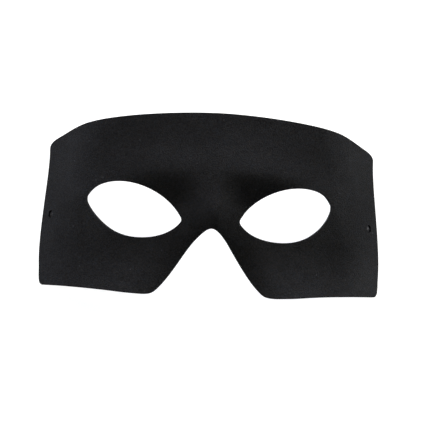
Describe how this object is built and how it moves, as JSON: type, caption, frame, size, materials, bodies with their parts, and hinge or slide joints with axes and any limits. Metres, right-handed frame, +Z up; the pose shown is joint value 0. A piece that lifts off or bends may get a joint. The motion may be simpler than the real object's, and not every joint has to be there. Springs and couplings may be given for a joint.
{
  "type": "masquerade eye mask",
  "caption": "Moulded black fabric half mask for the eyes and forehead, with almond eye holes, a nose notch, folded-back side panels and strap slits.",
  "frame": {"origin": "middle of the mask's footprint, on the surface that it lies on face up", "axes": "+X to the right as the face of the mask is looked at, +Y to the forehead edge, +Z up out of the face"},
  "size_m": [0.1928, 0.1004, 0.0433],
  "materials": {
    "mask_fabric": "matte black brushed fabric laminate, moulded, with a fine grain and crisp cut edges"
  },
  "bodies": {
    "root": {"mask_shell": "mask_fabric"}
  },
  "joints": []
}
